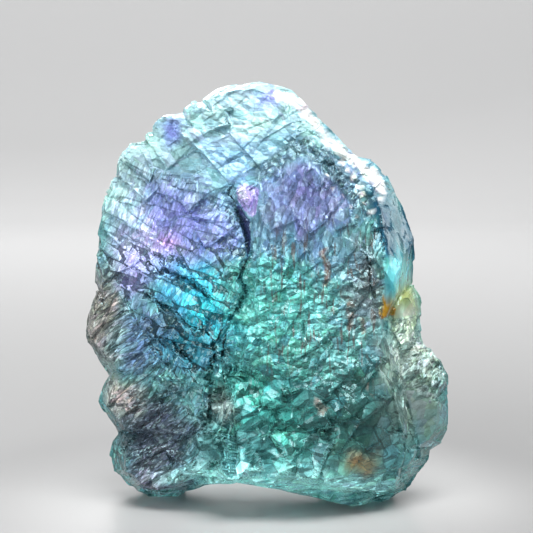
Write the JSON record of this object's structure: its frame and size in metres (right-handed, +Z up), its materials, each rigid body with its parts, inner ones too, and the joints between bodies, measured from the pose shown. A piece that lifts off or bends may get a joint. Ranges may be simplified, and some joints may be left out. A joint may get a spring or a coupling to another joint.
{
  "type": "fluorite crystal specimen",
  "caption": "Etched, parallel-grown fluorite octahedron with a jagged margin, standing on its broken base.",
  "frame": {"origin": "under the middle of the stone's bounding box, on the surface that it stands on", "axes": "+Z up, -Y the way the big etched octahedral face looks, +X to the right as seen from that side"},
  "size_m": [0.0554, 0.0324, 0.063],
  "materials": {
    "fluorite": "etched, glassy, translucent"
  },
  "bodies": {
    "root": {"fluorite_crystal": "fluorite"}
  },
  "joints": []
}
